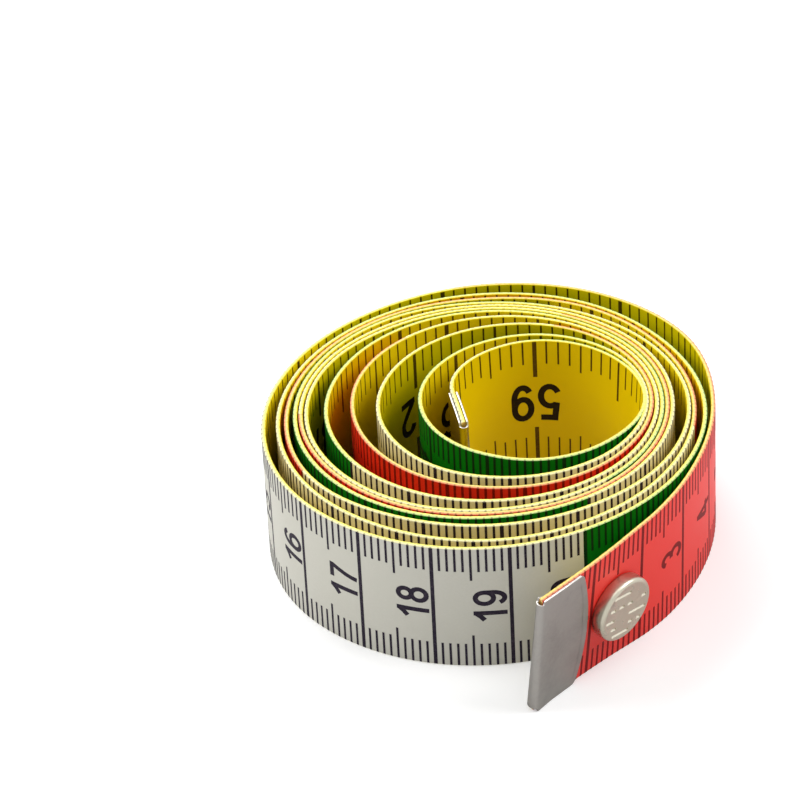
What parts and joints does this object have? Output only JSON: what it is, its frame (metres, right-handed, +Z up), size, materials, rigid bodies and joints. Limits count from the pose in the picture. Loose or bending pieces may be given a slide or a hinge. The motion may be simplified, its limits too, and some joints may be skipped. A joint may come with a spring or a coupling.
{
  "type": "tape measure",
  "caption": "Flexible cloth measuring tape, loosely coiled and standing on its edge, with folded metal end clips and a press stud fastener.",
  "frame": {"origin": "middle of the bounding box at the bottom, on the plane that the tape's lower edge rests on", "axes": "+Z up across the tape's width, +Y to the back of the coil, +X to the right; the free end and its clip are at the front"},
  "size_m": [0.0598, 0.07, 0.019],
  "materials": {
    "tape_coil": "matte printed coating on woven tape, yellow back and zones of red, white and green on the front",
    "tape_outer_end": "matte printed coating on woven tape, red front",
    "tape_inner_end": "matte printed coating on woven tape, white front",
    "outer_end_clip": "satin nickel plate",
    "inner_end_clip": "satin nickel plate",
    "snap_cap": "nickel plate with a bright rim and a woven emboss",
    "snap_cap_post": "nickel plate",
    "snap_socket": "nickel plate",
    "snap_socket_spring": "spring wire",
    "snap_stud": "nickel plate",
    "snap_stud_eyelet": "nickel plate"
  },
  "bodies": {
    "coil": {"tape_coil": "tape_coil", "snap_stud": "snap_stud", "snap_stud_eyelet": "snap_stud_eyelet"},
    "outer_end": {"tape_outer_end": "tape_outer_end", "outer_end_clip": "outer_end_clip", "snap_cap": "snap_cap", "snap_cap_post": "snap_cap_post", "snap_socket": "snap_socket", "snap_socket_spring": "snap_socket_spring"},
    "inner_end": {"tape_inner_end": "tape_inner_end", "inner_end_clip": "inner_end_clip"}
  },
  "joints": [
    {"name": "outer_end_bend", "type": "hinge", "parent": "coil", "child": "outer_end", "pos_m": [0.02862, -0.00126, 0.0095], "axis": [0, 0, 1], "range_deg": [0, 50], "stiffness_Nm_per_rad": 0.004},
    {"name": "inner_end_bend", "type": "hinge", "parent": "coil", "child": "inner_end", "pos_m": [-0.00246, 0.01707, 0.0095], "axis": [0, 0, 1], "range_deg": [-10, 25], "stiffness_Nm_per_rad": 0.004}
  ]
}
